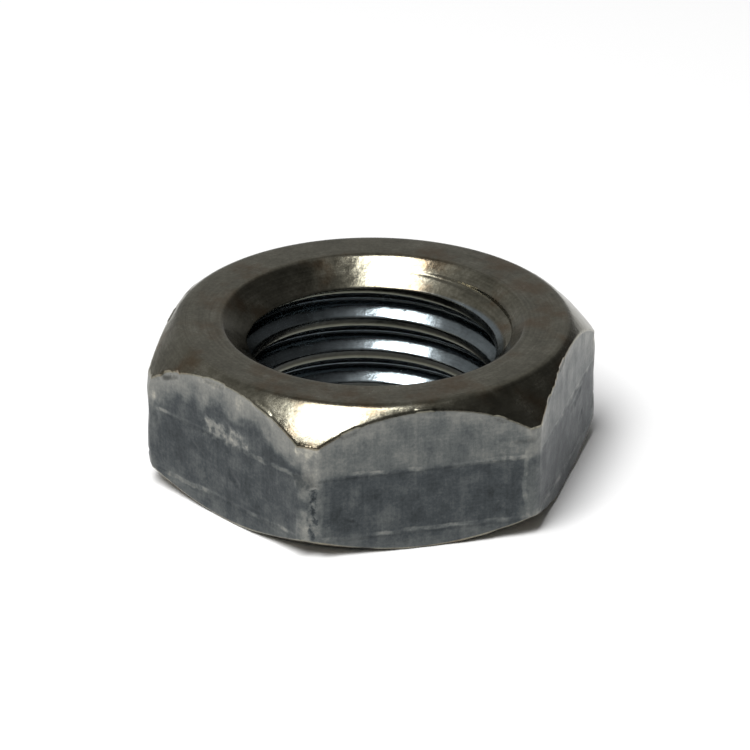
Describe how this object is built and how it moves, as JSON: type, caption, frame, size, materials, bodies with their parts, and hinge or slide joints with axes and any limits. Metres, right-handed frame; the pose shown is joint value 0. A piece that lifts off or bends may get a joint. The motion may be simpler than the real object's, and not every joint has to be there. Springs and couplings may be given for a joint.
{
  "type": "hex jam nut",
  "caption": "Thin hexagon nut in blackened steel, chamfered on both faces, with a countersunk right-hand coarse thread.",
  "frame": {"origin": "centre of the lower bearing face, on the thread axis", "axes": "+Z along the thread axis, out of the face with the large countersink; two opposite corners of the hexagon lie on the X axis, and two flats face +Y and -Y"},
  "size_m": [0.0318, 0.0276, 0.0106],
  "materials": {
    "blackened_steel": "forged carbon steel with dark oxide and mill scale, rubbed grey on the flats and corners; turned and half bright on the chamfer, countersink and thread"
  },
  "bodies": {
    "root": {"hex_nut": "blackened_steel"}
  },
  "joints": []
}
